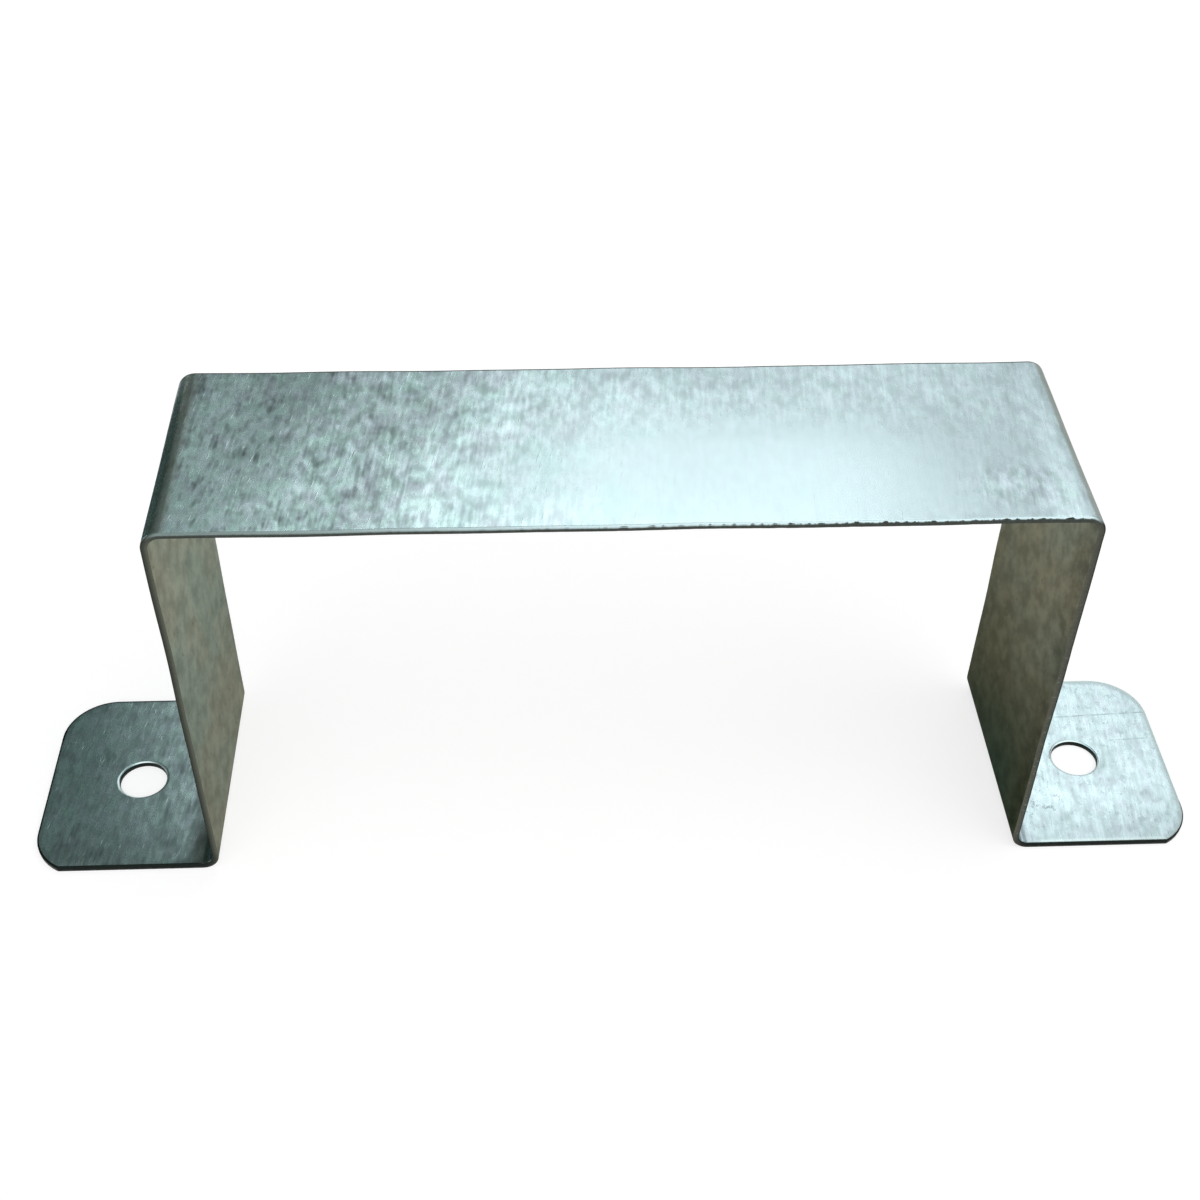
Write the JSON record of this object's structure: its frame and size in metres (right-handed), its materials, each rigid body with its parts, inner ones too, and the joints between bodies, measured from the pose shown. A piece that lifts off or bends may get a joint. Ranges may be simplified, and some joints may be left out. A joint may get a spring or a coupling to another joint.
{
  "type": "downpipe clamp",
  "caption": "Folded steel strap that holds a rectangular downpipe to a wall: a flat bridge, square legs and flat feet with rounded corners and punched screw holes.",
  "frame": {"origin": "on the wall plane under the feet, midway between them and midway across the strip", "axes": "+X across the pipe towards the right foot, +Y along the pipe, +Z out from the wall"},
  "size_m": [0.1504, 0.03, 0.0548],
  "materials": {
    "galvanised_steel": "dull galvanised zinc with fine streaks across the strip and darker sheared edges"
  },
  "bodies": {
    "root": {"clamp_strap": "galvanised_steel"}
  },
  "joints": []
}
